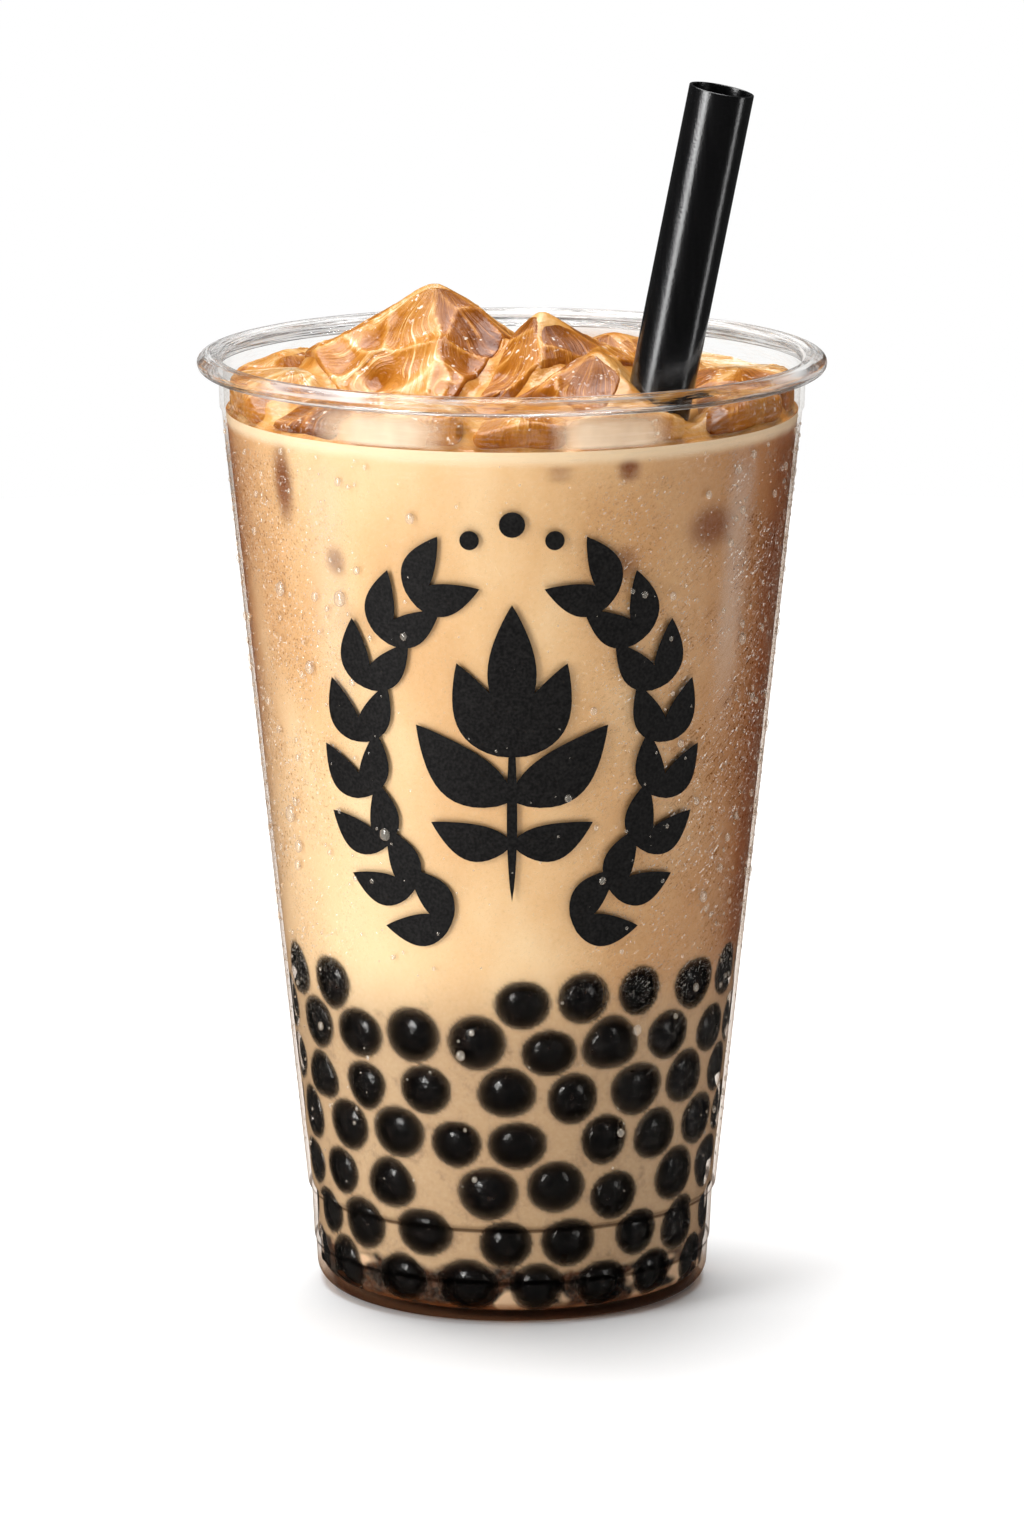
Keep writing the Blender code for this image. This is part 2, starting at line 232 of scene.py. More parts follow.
def rounded(points, reach, steps=3):
    """The line through the points, with a short curve in place of each corner."""
    points = [Vector(point) for point in points]
    yield tuple(points[0])
    for before, corner, after in zip(points, points[1:], points[2:]):
        start = corner + (before - corner).normalized() * min(reach, (before - corner).length / 2)
        end = corner + (after - corner).normalized() * min(reach, (after - corner).length / 2)
        for step in range(steps + 1):
            share = step / steps
            yield tuple(start.lerp(corner, share).lerp(corner.lerp(end, share), share))
    yield tuple(points[-1])


def turned(outline, sides):
    """A grid wound once round Z, so that it follows an outline of (radius, height) points, and sewn up."""
    outline = tuple(outline)
    bm = bmesh.new()
    grid = bmesh.ops.create_grid(bm, x_segments=sides, y_segments=len(outline) - 1, size=0.5)["verts"]
    for vert in grid:
        radius, height = outline[round((vert.co.y + 0.5) * (len(outline) - 1))]
        angle = 2 * math.pi * round((vert.co.x + 0.5) * sides) / sides
        vert.co = Vector((radius * math.cos(angle), radius * math.sin(angle), height))
    bmesh.ops.remove_doubles(bm, verts=bm.verts, dist=1e-7)
    bmesh.ops.recalc_face_normals(bm, faces=bm.faces)
    return bm


def inner_radius(height):
    """The radius of the cup's inside at a height above its heel."""
    for (upper, top), (lower, foot) in zip(WALL_STATIONS, WALL_STATIONS[1:]):
        if height >= foot:
            return lower + (upper - lower) * (height - foot) / (top - foot) - CUP_WALL
    inner_round = HEEL_ROUND - CUP_WALL
    below = min(FLOOR_HEIGHT + inner_round - height, inner_round)
    return HEEL_RADIUS - HEEL_ROUND + math.sqrt(inner_round**2 - max(below, 0.0) ** 2)


def facing(shade):
    """0 where a surface is seen square on, 1 at its outline."""
    return shade.node("ShaderNodeLayerWeight", {"Blend": 0.5}, output="Facing")


def ring_streaks(shade, around, across):
    """Noise drawn out along the cup's girth, with no seam."""
    place = shade.place()
    flat = place.stretched(1, 1, 0)
    outward = flat.node("ShaderNodeVectorMath", {0: flat}, operation="NORMALIZE").stretched(around, around, 0)
    level = (flat.length() + place.part("Z")) * across
    lifted = level.node("ShaderNodeCombineXYZ", {"Z": level})
    return lifted.moved(outward).noise(1.0, detail=3.0)


def beaded(shade, low):
    """Fine drops of condensation, painted, crowded at the sides: how bright each point's painted glint is, and how dark
    its painted shadow.
    """
    place = shade.place()
    across = place.part("X")
    side = (across * across).rise((18 * MM) ** 2, (36 * MM) ** 2)
    right = across.rise(4 * MM, 20 * MM) * 0.5
    crowd = place.noise(90.0, detail=3.0).rise(0.32, 0.55)
    crowd = low * (0.12 + 0.88 * crowd * (side + right)) * (0.15 + 0.85 * place.part("Z").rise(*DEW_FADE))
    shaken = place.moved(place.noise(600.0, detail=3.0) * DEW_SHAKE)
    glint = shadow = 0.0
    for scale in DEW_SCALES:
        drops = shaken.cells(scale)
        chance = shaken.cells(scale, output="Color").part("X")
        glint = drops.rise(0.30, 0.14) * chance.rise(0.5, 0.62) * crowd + glint
        shadow = drops.rise(0.42, 0.2) * chance.rise(0.55, 0.4) * crowd + shadow
    return glint, shadow


def soft_bands(shade, low):
    """Two upright bands of soft light on the upper wall, one near each side."""
    place = shade.place()
    sideness = place.part("X") / place.stretched(1, 1, 0).length()
    left = sideness.rise(-0.76, -0.66) * sideness.rise(-0.54, -0.64) * 0.10
    right = sideness.rise(0.72, 0.78) * sideness.rise(0.86, 0.80) * 0.16
    return (left + right) * (place.part("Z").rise(*BAND_FADE) * low)


def step_lines(height):
    """A thin line under each of the two steps, where the wall is painted dark as shade under the step."""
    lines = 0.0
    for step in (UPPER_STEP_HEIGHT, LOWER_STEP_HEIGHT):
        lines = height.rise(step - 0.7 * MM, step - 0.3 * MM) * height.rise(step + 0.3 * MM, step) + lines
    return lines


def milky_film(shade):
    """Where milk clings to the inside of the wall above the drink: two patches, left and right of the middle."""
    place = shade.place()
    across = place.part("X")
    height = place.part("Z")
    left = across.rise(-31 * MM, -23 * MM) * across.rise(-9 * MM, -16 * MM)
    right = across.rise(5 * MM, 11 * MM) * across.rise(25 * MM, 18 * MM)
    patches = place.stretched(1, 1, 0.6).noise(140.0, detail=3.0) + 0.4
    return height.rise(*FILM_FOOT) * height.rise(*FILM_TOP) * (left + right) * patches


def see_through(shade, *tint):
    return shade.node("ShaderNodeBsdfTransparent", {"Color": (*tint, 1.0)})


def clear_wall():
    """Clear PET: shiny at grazing angles with a painted dark tint towards its outline, and below the ledge beaded with
    fine drops of condensation, painted as glints and shadows, under two painted bands of soft light.
    """
    material, shade = new_material("clear_pet")
    height = shade.place().part("Z")
    low = height.rise(LEDGE_HEIGHT, LEDGE_HEIGHT - 8 * MM)
    glint, shadow = beaded(shade, low)
    edge = facing(shade)
    body = see_through(shade, 0.99, 0.99, 0.985)
    # Painted shadows of the drops, and a painted dark tint towards the wall's outline.
    body = (shadow * 0.65 + edge**4.0 * (0.1 + 0.5 * low)).blend(body, see_through(shade, 0.38, 0.24, 0.13))
    body = (height.rise(*HEEL_TINT) * 0.6).blend(body, see_through(shade, 0.5, 0.27, 0.1))
    # Painted shade: a dark line under each step.
    body = (step_lines(height) * 0.75).blend(body, see_through(shade, 0.1, 0.06, 0.04))
    gloss = shade.principled(Base_Color=(1, 1, 1, 1), Metallic=1.0, Roughness=0.1)
    body = (edge**5.0 * (0.1 + 0.15 * low) + 0.004).blend(body, gloss)
    milk = shade.principled(Base_Color=colour(246, 222, 190), Roughness=0.35)
    body = (milky_film(shade) * 0.65).blend(body, milk)
    streaks = ring_streaks(shade, 9.0, 1800.0).rise(0.45, 0.75) * (1 - low)
    haze_and_painted_light = shade.principled(Base_Color=(0.97, 0.9, 0.8, 1), Roughness=0.4)
    # Painted glints of the drops and painted bands of soft light, with real haze in streaks above the ledge.
    return finished(material, (glint * 0.85 + streaks * 0.08 + soft_bands(shade, low)).blend(body, haze_and_painted_light))


def clear_bead():
    """The solid bead of the rim: clear PET that bends the light, with painted grey and white rings for the light and
    dark it bends and reflects, greyer towards its outline.
    """
    material, shade = new_material("clear_pet_bead")
    rings = ring_streaks(shade, 4.0, 2600.0)
    broad = ring_streaks(shade, 1.8, 1100.0)
    normal = rings.bump(0.3 * MM)
    glass = shade.principled(
        Base_Color=(0.97, 0.97, 0.97, 1), Roughness=0.03, IOR=1.4, Transmission_Weight=1.0, Normal=normal
    )
    white = shade.principled(Base_Color=(0.95, 0.95, 0.94, 1), Roughness=0.3, Normal=normal)
    grey = shade.principled(Base_Color=(0.22, 0.21, 0.20, 1), Roughness=0.3, Normal=normal)
    # Painted grey and white rings and a painted grey outline stand in for the light and dark that the bead bends and
    # reflects.
    body = rings.rise(0.35, 0.65).blend(see_through(shade, 0.92, 0.91, 0.90), glass)
    body = (rings.rise(0.46, 0.34) * 0.3 + facing(shade) ** 4.0 * 0.15).blend(body, grey)
    return finished(material, (broad.rise(0.5, 0.68) * 0.55).blend(body, white))


rim_centre = (RIM_RADIUS - RIM_WIDTH / 2, CUP_HEIGHT - RIM_DEPTH / 2)
outside = tuple(rounded(WALL_STATIONS[1:], STEP_ROUND))
inside = tuple((radius - CUP_WALL, height) for radius, height in reversed(outside))
inner_round = HEEL_ROUND - CUP_WALL
heel_centre = HEEL_RADIUS - HEEL_ROUND
cup = turned(
    (
        (0.0, FLOOR_HEIGHT),
        *arc((heel_centre, FLOOR_HEIGHT + inner_round), (inner_round, inner_round), -90, 0, 8),
        *inside[1:],
        *arc(rim_centre, (RIM_WIDTH / 2, RIM_DEPTH / 2), 180, -130, 28),
        *outside[:-1],
        *arc((heel_centre, HEEL_ROUND), (HEEL_ROUND, HEEL_ROUND), 0, -90, 10),
        (RECESS_RADIUS, 0.0),
        (RECESS_RADIUS - RECESS_DEPTH, RECESS_DEPTH),
        (0.0, RECESS_DEPTH),
    ),
    CUP_SIDES,
)
for face in cup.faces:
    face.material_index = int(face.calc_center_median().z > CUP_HEIGHT - RIM_DEPTH)
add_piece("clear_cup_shell", cup, (clear_wall(), clear_bead()), ("cup",))

# Pearls: cooked tapioca, 7 to 9 mm across, soft and nearly black. They lie heaped in the lower third of the cup, and
# those at its side are pressed against the wall, where they flatten a little.
TEA_LEVEL = 139.3 * MM
GAP = 0.3 * MM
BED_TOP = 56.8 * MM
PEARL_ROWS = 7
PEARL_FIRST_ROW = 6.2 * MM
PEARL_ROW_PITCH = 7.7 * MM
PEARL_PITCH = 9.7 * MM
PEARL_RADII = (3.6 * MM, 4.3 * MM)
PEARL_SPACE = 0.7 * MM
PEARL_SHIFT = 2.0 * MM
PEARL_ROUNDS = 60
PEARL_SEED = 4
PEARLS_ON_TOP = (5, 9)
TOP_ROW_MISSING = 0.3
PEARL_FLATNESS = 3.4
PEARL_MARGIN = 0.06 * MM
PEARL_SPREAD = (1.14, 1.07)
PEARL_UNEVENNESS = 0.065
CORE_INSET = 8.5 * MM
CORE_TOP = 51 * MM
CORE_ROUND = 2 * MM
CORE_SIDES = 96


def ease_apart(pearls):
    """Moves pearls that are too near each other half of the way apart, along the wall."""
    for index, first in enumerate(pearls):
        for second in pearls[index + 1 :]:
            across = inner_radius((first[1] + second[1]) / 2) - PEARL_RADII[1]
            turn = math.remainder(second[0] - first[0], 2 * math.pi)
            apart = Vector((turn * across, second[1] - first[1]))
            wanted = first[2] + second[2] + PEARL_SPACE
            if 0 < apart.length < wanted:
                push = apart.normalized() * (wanted - apart.length) / 4
                first[0] -= push.x / across
                first[1] -= push.y
                second[0] += push.x / across
                second[1] += push.y
    for pearl in pearls:
        lowest = FLOOR_HEIGHT + GAP + pearl[2]
        pearl[1] = min(max(pearl[1], lowest), BED_TOP - pearl[2])


def wall_pearls():
    """The pearls that lie against the wall: [turn about Z, height, radius]."""
    draw = random.Random(PEARL_SEED)
    pearls = []
    for row in range(PEARL_ROWS):
        height = PEARL_FIRST_ROW + row * PEARL_ROW_PITCH
        girth = 2 * math.pi * (inner_radius(height) - PEARL_RADII[1])
        count = round(girth / PEARL_PITCH)
        for place in range(count):
            turn = 2 * math.pi * (place + row / 2) / count
            shift = draw.uniform(-PEARL_SHIFT, PEARL_SHIFT) * 2 * math.pi / girth
            lift = draw.uniform(-PEARL_SHIFT, PEARL_SHIFT)
            radius = draw.uniform(*PEARL_RADII)
            missing = row == PEARL_ROWS - 1 and draw.random() < TOP_ROW_MISSING
            if not missing:
                pearls.append([turn + shift, height + lift, radius])
    for _ in range(PEARL_ROUNDS):
        ease_apart(pearls)
    return pearls


def tapioca():
    """Nearly black, a little brown where the light gets in, with a wet shine."""
    material, shade = new_material("tapioca")
    place = shade.place()
    mottle = place.noise(700.0, detail=4.0, roughness=0.6)
    tint = mottle.ramp((0.4, colour(5, 4, 4)), (0.62, colour(20, 15, 13)), (0.85, colour(70, 54, 46)))
    skin = shade.stored("dome") + place.noise(800.0, detail=3.0) * 0.04
    normal = skin.bump(PEARL_RADII[1], strength=0.9)
    return finished(material, shade.principled(Base_Color=tint, Roughness=0.22, Specular_IOR_Level=0.5, Normal=normal))


def uneven(number, angle):
    """How far a pearl's outline lies from round in a direction across it, as a factor."""
    first, second = (noise.noise(Vector((number * 7.3, kind, 0.5))) for kind in (0.5, 4.5))
    return 1 + PEARL_UNEVENNESS * (first * np.cos(2 * angle) * 2 + second * np.sin(3 * angle) * 1.4)


PEARLS = wall_pearls()
black_tapioca = tapioca()
heap = bmesh.new()
dome = heap.verts.layers.float.new("dome")
for number, (turn, height, radius) in enumerate(PEARLS):
    pearl = bmesh.ops.create_icosphere(heap, subdivisions=3, radius=1.0)["verts"]
    for vert in pearl:
        sideways, outward, upward = vert.co
        vert[dome] = max(outward, 0.0) * radius / PEARL_RADII[1]
        across = min(math.hypot(sideways, upward), 1.0)
        if outward > 0:
            outward = (1 - across**PEARL_FLATNESS) ** (1 / PEARL_FLATNESS)
        bulge = uneven(number, math.atan2(upward, -sideways))
        level = height + upward * radius * bulge * PEARL_SPREAD[1]
        reach = inner_radius(level) - PEARL_MARGIN - radius * (1 - outward)
        angle = turn - sideways * radius * bulge * PEARL_SPREAD[0] / inner_radius(height)
        vert.co = Vector((reach * math.cos(angle), reach * math.sin(angle), level))
for ring, count in enumerate(PEARLS_ON_TOP, start=1):
    for place in range(count):
        turn = 2 * math.pi * (place + ring / 3) / count
        centre = Vector((math.cos(turn), math.sin(turn), 0.0)) * ring * PEARL_PITCH
        centre.z = BED_TOP - PEARL_RADII[1]
        where = Matrix.Translation(centre)
        bmesh.ops.create_icosphere(heap, subdivisions=2, radius=PEARL_RADII[1], matrix=where)
bmesh.ops.recalc_face_normals(heap, faces=heap.faces)
add_piece("tapioca_pearls", heap, (black_tapioca,), ("pearls",))

core_foot = FLOOR_HEIGHT + GAP
core_outline = (
    (0.0, core_foot),
    (inner_radius(core_foot + HEEL_ROUND) - CORE_INSET, core_foot),
    (inner_radius(CORE_TOP) - CORE_INSET, CORE_TOP),
    (0.0, CORE_TOP),
)
core = turned(rounded(core_outline, CORE_ROUND), CORE_SIDES)
add_piece("pearl_heap_core", core, (black_tapioca,))

# Milk tea: opaque, creamy and caramel-coloured. It fills the cup from its floor to just under the ledge and wets the
# wall, so its skin lies a little inside the plastic. It thins over the pearls at the wall, so that they show.
TEA_INTO_WALL = 0.08 * MM
VEIL_DEPTH = 2.3 * MM
TEA_SIDES = 480
BED_VIEW_TOP = 58.0 * MM
VEIL_ROW = 0.45 * MM
BED_FADE = (60 * MM, 44 * MM)
BED_INSET = 9 * MM
PEARL_SHADE_WIDTH = 0.45 * MM
CREAM_FADE = (TEA_LEVEL - 2.4 * MM, TEA_LEVEL - 0.6 * MM)
SYRUP_TOP = 9.0 * MM


def foot_syrup(place, height):
    """Brown syrup at the cup's foot: its strength, and its colour with milk that has run into it and an amber glow."""
    level = height + (place.noise(180.0, detail=3.0) - 0.5) * (4 * MM)
    pale = place.stretched(1, 1, 1.6).noise(110.0, detail=2.0).rise(0.53, 0.63)
    brown = place.noise(420.0, detail=4.0, roughness=0.65).rise(0.42, 0.64)
    tint = pale.mix(brown.mix(colour(30, 17, 9), colour(86, 50, 26)), colour(222, 184, 146))
    glow = height.rise(3.4 * MM, 1.4 * MM) * place.noise(300.0).rise(0.36, 0.54)
    return level.rise(SYRUP_TOP + 0.5 * MM, SYRUP_TOP - 0.9 * MM), (glow * 0.8).mix(tint, colour(190, 108, 40))


def milk_tea():
    """Creamy tea: caramel with faint clouds, a pale skin at its level, brown spots where ice touches the wall, painted
    shade towards its right side and its outline, painted light at its lower left, and painted shade among and round the
    pearls.
    """
    material, shade = new_material("milk_tea")
    place = shade.place()
    across = place.part("X")
    height = place.part("Z")
    clouds = place.stretched(1, 1, 0.5).noise(55.0, detail=3.0)
    tint = clouds.ramp((0.3, colour(218, 168, 112)), (0.55, colour(232, 189, 136)), (0.75, colour(243, 210, 163)))
    # Painted shade: darker towards the cup's right side and towards its outline.
    painted_shade = across.rise(-2 * MM, 44 * MM) * 0.55 + facing(shade) ** 2.6 * 1.1
    tint = painted_shade.mix(tint, colour(146, 76, 16))
    # Painted light: paler over the lower left of the tea above the pearls.
    light = height.rise(104 * MM, 66 * MM) * across.rise(6 * MM, -24 * MM)
    tint = (light * 0.45).mix(tint, colour(250, 222, 176))
    tint = shade.stored("spot").mix(tint, colour(122, 62, 24))
    # Painted shade among the pearls: the tea there is darker and greyer, with dark flecks.
    bed = height.rise(*BED_FADE)
    tint = (bed * 0.85).mix(tint, colour(180, 148, 112))
    painted_bed_shade = (bed * place.noise(330.0, detail=4.0, roughness=0.7).rise(0.5, 0.78)) * 0.55
    tint = painted_bed_shade.mix(tint, colour(120, 92, 68))
    # Painted shade: a dark ring round each pearl's edge.
    tint = (shade.stored("painted_pearl_shade") * 0.55).mix(tint, colour(88, 66, 50))
    syrup, syrup_tint = foot_syrup(place, height)
    tint = syrup.mix(tint, syrup_tint)
    cream = height.rise(*CREAM_FADE) * 0.6
    tint = cream.mix(tint, colour(250, 228, 192))
    grain = (place.noise(1600.0, detail=2.0) - 0.5) * 0.16 + 0.02
    tint = grain.mix(tint, colour(255, 240, 215))
    veil = 1 - shade.stored("thin")
    return finished(material, shade.principled(Base_Color=tint, Roughness=0.35, Specular_IOR_Level=0.25, Alpha=veil))


def liquid_radius(height):
    """The radius of the drink, which reaches just into the wall."""
    return inner_radius(height) + TEA_INTO_WALL


def store(piece, name, values):
    """Keeps one number for each of the piece's points, for its material."""
    piece.data.attributes.new(name, "FLOAT", "POINT").data.foreach_set("value", np.asarray(values, dtype=np.float32))


def points_of(piece):
    """Where the piece's points are, one row for each."""
    count = len(piece.data.vertices)
    places = np.empty(count * 3, dtype=np.float32)
    piece.data.vertices.foreach_get("co", places)
    return places.reshape(count, 3).astype(float)


def thinness(places):
    """How clearly the pearls show through each point of the tea's skin, and how strongly the painted shade round each
    pearl's edge darkens it.
    """
    angles = np.arctan2(places[:, 1], places[:, 0])
    radii = np.hypot(places[:, 0], places[:, 1])
    skin = radii > np.array([liquid_radius(height) for height in places[:, 2]]) - 0.05 * MM
    thin = np.zeros(len(places))
    painted_pearl_shade = np.zeros(len(places))
    for number, (turn, height, radius) in enumerate(PEARLS):
        sideways = np.remainder(angles - turn + math.pi, 2 * math.pi) - math.pi
        sideways *= inner_radius(height) / radius / PEARL_SPREAD[0]
        upward = (places[:, 2] - height) / radius / PEARL_SPREAD[1]
        across = np.hypot(sideways, upward) / uneven(number, np.arctan2(upward, sideways))
        dome = np.clip(1 - np.clip(across, 0, 1) ** PEARL_FLATNESS, 0, 1) ** (1 / PEARL_FLATNESS)
        depth = radius * (1 - dome)
        shown = np.where(across < 1, np.exp(-((depth / VEIL_DEPTH) ** 2)), 0.0)
        thin = np.maximum(thin, shown)
        # Painted shade, strongest at the pearl's edge and falling off outside it.
        painted_pearl_shade = np.maximum(painted_pearl_shade, np.exp(-np.clip(across - 0.9, 0, 9) * radius / PEARL_SHADE_WIDTH))
    return thin * skin, painted_pearl_shade * skin


bed_rows = np.arange(BED_VIEW_TOP, FLOOR_HEIGHT, -VEIL_ROW)
back_rows = np.linspace(4 * MM, BED_VIEW_TOP, 12)
bed_tea = turned(
    (
        *((liquid_radius(height), height) for height in bed_rows),
        (liquid_radius(bed_rows[-1]) - BED_INSET, bed_rows[-1]),
        *((inner_radius(height + HEEL_ROUND) - BED_INSET, height) for height in back_rows),
        (liquid_radius(BED_VIEW_TOP), BED_VIEW_TOP),
    ),
    TEA_SIDES,
)
creamy_tea = milk_tea()
tea_round_pearls = add_piece("tea_round_pearls", bed_tea, (creamy_tea,))
thin, painted_pearl_shade = thinness(points_of(tea_round_pearls))
store(tea_round_pearls, "thin", thin)
store(tea_round_pearls, "painted_pearl_shade", painted_pearl_shade)

# Ice: lumps that stick together and stand out of the tea, washed with it, so that they look amber and wet. Each has
# slopes that fall from a blunt peak, thin crests where they meet, painted pale as highlights, and its lower part sunk
# in the drink.
Lump = namedtuple("Lump", "name peak reach turn slopes tones")
LUMPS = (  # peak in mm; reach; turn of the first slope; the slopes' angles; how pale each slope is, from 0 to 1
    Lump("ice_peak_left", (-12.0, 2.0, 160.0), 22, 0, (31, 38, 44, 27, 36, 34), (0.45, 0.5, 0.5, 0.52, 0.72, 0.42)),
    Lump("ice_peak_right", (4.5, -8.0, 156.6), 17, 10, (29, 44, 40, 42, 38), (0.45, 0.5, 0.5, 0.46, 0.4)),
    Lump("ice_crest_straw", (13.0, -21.5, 152.2), 15, 0, (38, 30, 27, 30), (0.8, 0.5, 0.45, 0.42)),
    Lump("ice_behind_peak", (15.5, 9.0, 150.6), 14, 30, (20, 30, 22, 24, 18), (0.6, 0.6, 0.5, 0.5, 0.5)),
    Lump("ice_slab_right", (35.0, -2.0, 146.4), 11, 20, (7, 10, 12, 9), (0.5, 0.6, 0.4, 0.3)),
    Lump("ice_slab_back", (27.0, 26.0, 144.0), 13, 0, (4, 3, 5, 4), (0.7, 0.7, 0.6, 0.65)),
    Lump("ice_back", (3.0, 33.0, 145.4), 13, 15, (5, 6, 8, 7), (0.6, 0.6, 0.6, 0.6)),
    Lump("ice_back_left", (-23.0, 30.0, 145.2), 12, 40, (6, 7, 5, 8), (0.6, 0.6, 0.6, 0.6)),
    Lump("ice_cube_left", (-35.5, 10.0, 147.6), 10, 60, (14, 34, 12, 30), (0.6, 0.5, 0.6, 0.3)),
    Lump("ice_block_left", (-34.0, -7.0, 147.0), 10, 15, (16, 10, 12, 22), (0.6, 0.62, 0.6, 0.65)),
    Lump("ice_shard_left", (-25.0, -22.0, 145.2), 8, 35, (14, 12, 20, 10), (0.3, 0.4, 0.3, 0.3)),
    Lump("ice_front_left", (-12.0, -34.0, 145.8), 9, 0, (12, 14, 10, 9), (0.7, 0.7, 0.75, 0.7)),
    Lump("ice_front", (2.0, -36.0, 144.8), 10, 20, (10, 16, 12, 8), (0.5, 0.5, 0.5, 0.5)),
    Lump("ice_front_right", (15.0, -37.5, 145.6), 8, 0, (9, 16, 12, 10), (0.7, 0.7, 0.7, 0.7)),
    Lump("ice_side_right", (36.0, -20.0, 145.2), 10, 0, (10, 9, 14, 12), (0.45, 0.5, 0.45, 0.4)),
)
LUMP_CROWN = 0.4 * MM
LUMP_GRAIN = 0.5 * MM
LUMP_WANDER = 2.4 * MM
WANDER_WIDTH = 6 * MM
WANDER_SEED = 3
LUMP_SOFTNESS = 0.065
LUMP_HOLLOW = 0.17
CREST_WIDTH = 0.28 * MM
CREST_HEIGHT = 0.35 * MM
RIPPLE_WIDTH = 4.5 * MM
FACET_WIDTH = 9.5 * MM
FACET_HOLLOW = 2.6
FACET_SEAM = 0.04
FACET_TONE = 0.12
FILM_UNDER = 0.25 * MM
FILM_BLEND = 20.0
FILM_WALL_REACH = 3.0 * MM


def slope_planes(lump, x, y):
    """The height of each of a lump's slopes over the given places."""
    heights = []
    for number, slope in enumerate(lump.slopes):
        azimuth = math.radians(lump.turn + 360 * number / len(lump.slopes))
        away = (x - lump.peak[0] * MM) * math.cos(azimuth) + (y - lump.peak[1] * MM) * math.sin(azimuth)
        heights.append(lump.peak[2] * MM - away * math.tan(math.radians(slope)))
    return np.array(heights)


noise.seed_set(WANDER_SEED)  # noise_vector starts from the clock without it, and gives other lumps on each run


def wandered(x, y, seed):
    """The places, pushed about by slow noise, so that the crests between slopes wander."""
    spots = [Vector((east / WANDER_WIDTH, north / WANDER_WIDTH, seed)) for east, north in zip(x, y)]
    push = np.array([noise.noise_vector(spot)[:2] for spot in spots]).reshape(len(x), 2) * LUMP_WANDER
    return x + push[:, 0], y + push[:, 1]


def facets(lump, x, y):
    """The lump's facets over the given places: their relief in mm, how near the next one is, and their tone."""
    relief, seam, shift = np.zeros((3, len(x)))
    for index, (east, north) in enumerate(zip(x - lump.peak[0] * MM, y - lump.peak[1] * MM)):
        distances, middles = noise.voronoi(Vector((east, north, lump.peak[0] * MM)) / FACET_WIDTH)
        ripple = noise.noise(Vector((east, north, lump.peak[2])) / RIPPLE_WIDTH) * 0.5
        relief[index] = ripple + FACET_HOLLOW * (distances[0] ** 2 - 0.2)
        seam[index] = 0.9 * math.exp(-(distances[1] - distances[0]) / FACET_SEAM)
        shift[index] = noise.cell(middles[0] * 9.1) - 0.5
    return relief, seam, shift


def carved(lump, x, y):
    """The lump's plain top, its sculpted top, how near a crest each place is, and how pale it is."""
    summit = lump.peak[2] * MM
    plain = np.minimum(slope_planes(lump, x, y).min(axis=0), summit - LUMP_CROWN)
    tall = summit - TEA_LEVEL
    fallen = np.clip((summit - plain) / tall, 0, 1.3)
    east, north = wandered(x, y, lump.peak[0])
    calm = np.clip(fallen * 2.5, 0.15, 1)
    bent = slope_planes(lump, x + (east - x) * calm, y + (north - y) * calm)
    ranked = np.sort(bent, axis=0)
    softness = tall * LUMP_SOFTNESS
    soft = ranked[0] - softness * np.log(np.exp(-(bent - ranked[0]) / softness).sum(axis=0) / 3)
    hollow = LUMP_HOLLOW * tall * np.sin(np.clip(fallen, 0, 1) * math.pi)
    relief, seam, shift = facets(lump, x, y)
    crest = np.maximum(np.exp(-(ranked[1] - ranked[0]) / CREST_WIDTH), seam)
    steady = np.clip(fallen * 3, 0.2, 1)
    sculpted = soft - hollow + relief * MM * steady * min(tall / (11 * MM), 1)
    sculpted += CREST_HEIGHT * crest * np.clip(fallen * 4, 0, 1)
    tone = np.array(lump.tones)[bent.argmin(axis=0)] + FACET_TONE * shift
    return plain, sculpted, crest, tone


def smooth_step(values, low, high):
    """0 below low, 1 above high, and smooth between them."""
    share = np.clip((values - low) / (high - low), 0, 1)
    return share * share * (3 - 2 * share)


def draped(x, y):
    """The height of the film of tea that joins the lumps, which falls to the tea's level at the wall."""
    powers = np.array(
        [((x / MM - lump.peak[0]) ** 2 + (y / MM - lump.peak[1]) ** 2) - lump.reach**2 for lump in LUMPS]
    )
    weights = np.exp(-(powers - powers.min(axis=0)) / FILM_BLEND)
    weights /= weights.sum(axis=0)
    height = np.full(len(x), -FILM_UNDER)
    for lump, weight in zip(LUMPS, weights):
        near = weight > 0.001
        height[near] += weight[near] * np.maximum(carved(lump, x[near], y[near])[1], TEA_LEVEL)
        height[~near] += weight[~near] * TEA_LEVEL
    from_wall = inner_radius(TEA_LEVEL) - np.hypot(x, y)
    return TEA_LEVEL + np.maximum(height - TEA_LEVEL, 0) * smooth_step(from_wall, 0.3 * MM, FILM_WALL_REACH)


AMBER_STOPS = (
    (0.0, colour(104, 50, 6)),
    (0.25, colour(154, 88, 20)),
    (0.45, colour(190, 124, 48)),
    (0.62, colour(210, 156, 88)),
    (0.8, colour(236, 198, 144)),
    (1.0, colour(255, 248, 234)),
)


